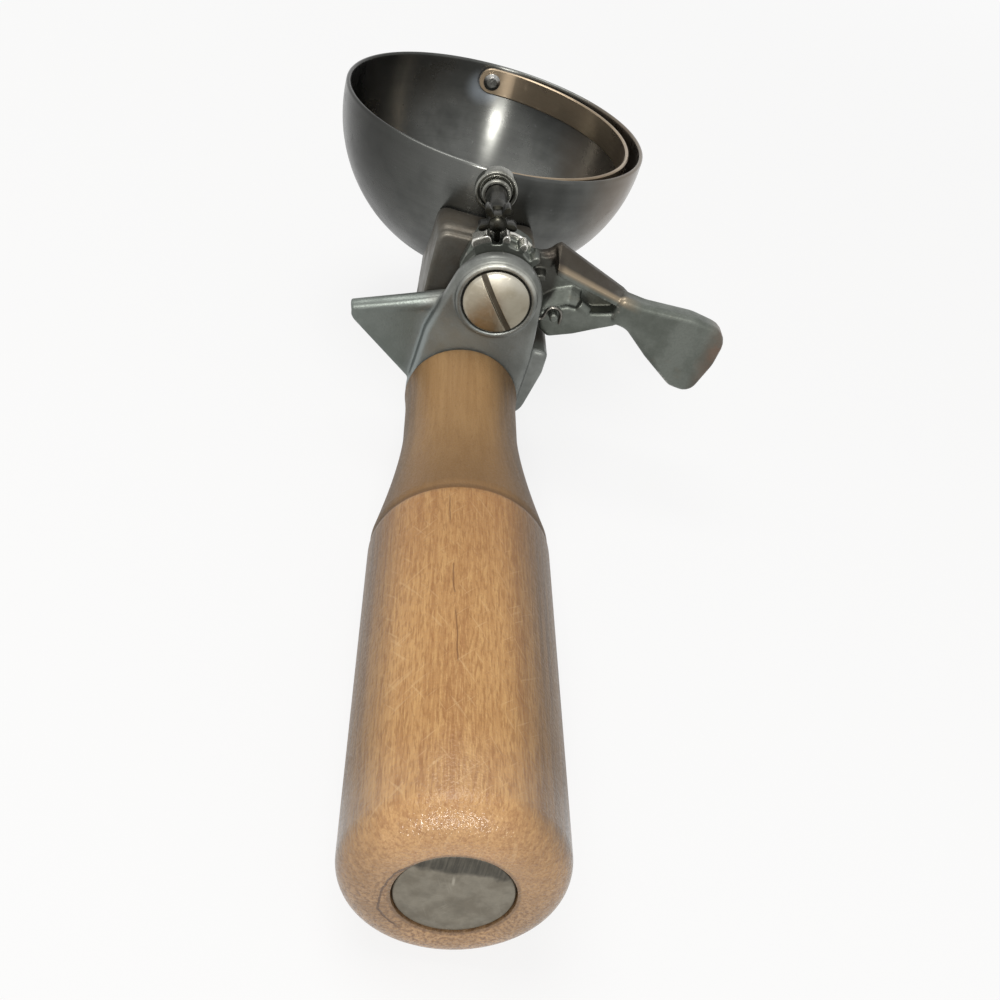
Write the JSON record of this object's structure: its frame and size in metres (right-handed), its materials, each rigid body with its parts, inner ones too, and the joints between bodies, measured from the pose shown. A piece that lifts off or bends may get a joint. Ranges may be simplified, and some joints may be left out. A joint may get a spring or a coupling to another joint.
{
  "type": "portion scoop",
  "caption": "Portion scoop with a turned wooden handle, cast frame, geared thumb lever and a round steel bowl with a turning scraper.",
  "frame": {"origin": "centre of the round cap nut's flat face at the handle's butt end", "axes": "+Y along the handle from the butt towards the bowl, +Z the way the bowl opens, +X towards the thumb lever"},
  "size_m": [0.0804, 0.1978, 0.0513],
  "materials": {
    "varnished_wood": "varnished, worn",
    "cap_steel": "scratched",
    "rod_steel": "plain",
    "cast_aluminium": "as cast, dull",
    "lever_casting": "as cast, worn bright at the edges",
    "screw_nickel": "nickel plated, worn",
    "spring_steel": "wire",
    "shaft_steel": "dark, polished by use",
    "blade_steel": "satin",
    "bushing_nickel": "nickel plated",
    "bowl_steel": "satin, spun",
    "rivet_steel": "plain"
  },
  "bodies": {
    "frame": {"handle": "varnished_wood", "end_cap": "cap_steel", "tang_rod": "rod_steel", "frame_casting": "cast_aluminium", "pivot_screw": "screw_nickel", "return_spring": "spring_steel", "shaft_bushing": "bushing_nickel", "bowl": "bowl_steel", "bowl_rivet_left": "rivet_steel", "bowl_rivet_right": "rivet_steel", "far_pivot_rivet": "rivet_steel"},
    "lever": {"lever": "lever_casting"},
    "scraper": {"scraper_shaft": "shaft_steel", "scraper_blade": "blade_steel"}
  },
  "joints": [
    {"name": "lever_turn", "type": "hinge", "parent": "frame", "child": "lever", "pos_m": [0.0013, 0.1164, 0.0217], "axis": [0, -1, 0], "range_deg": [0, 52], "stiffness_Nm_per_rad": 0.07, "springref_deg": -28.65, "deforming": ["return_spring"]},
    {"name": "scraper_turn", "type": "hinge", "parent": "frame", "child": "scraper", "pos_m": [-0.0012, 0.1644, 0.0328], "axis": [0, -1, 0], "range_deg": [-156, 0]}
  ],
  "couplings": [
    {"joint": "scraper_turn", "follows": "lever_turn", "ratio": -3}
  ]
}
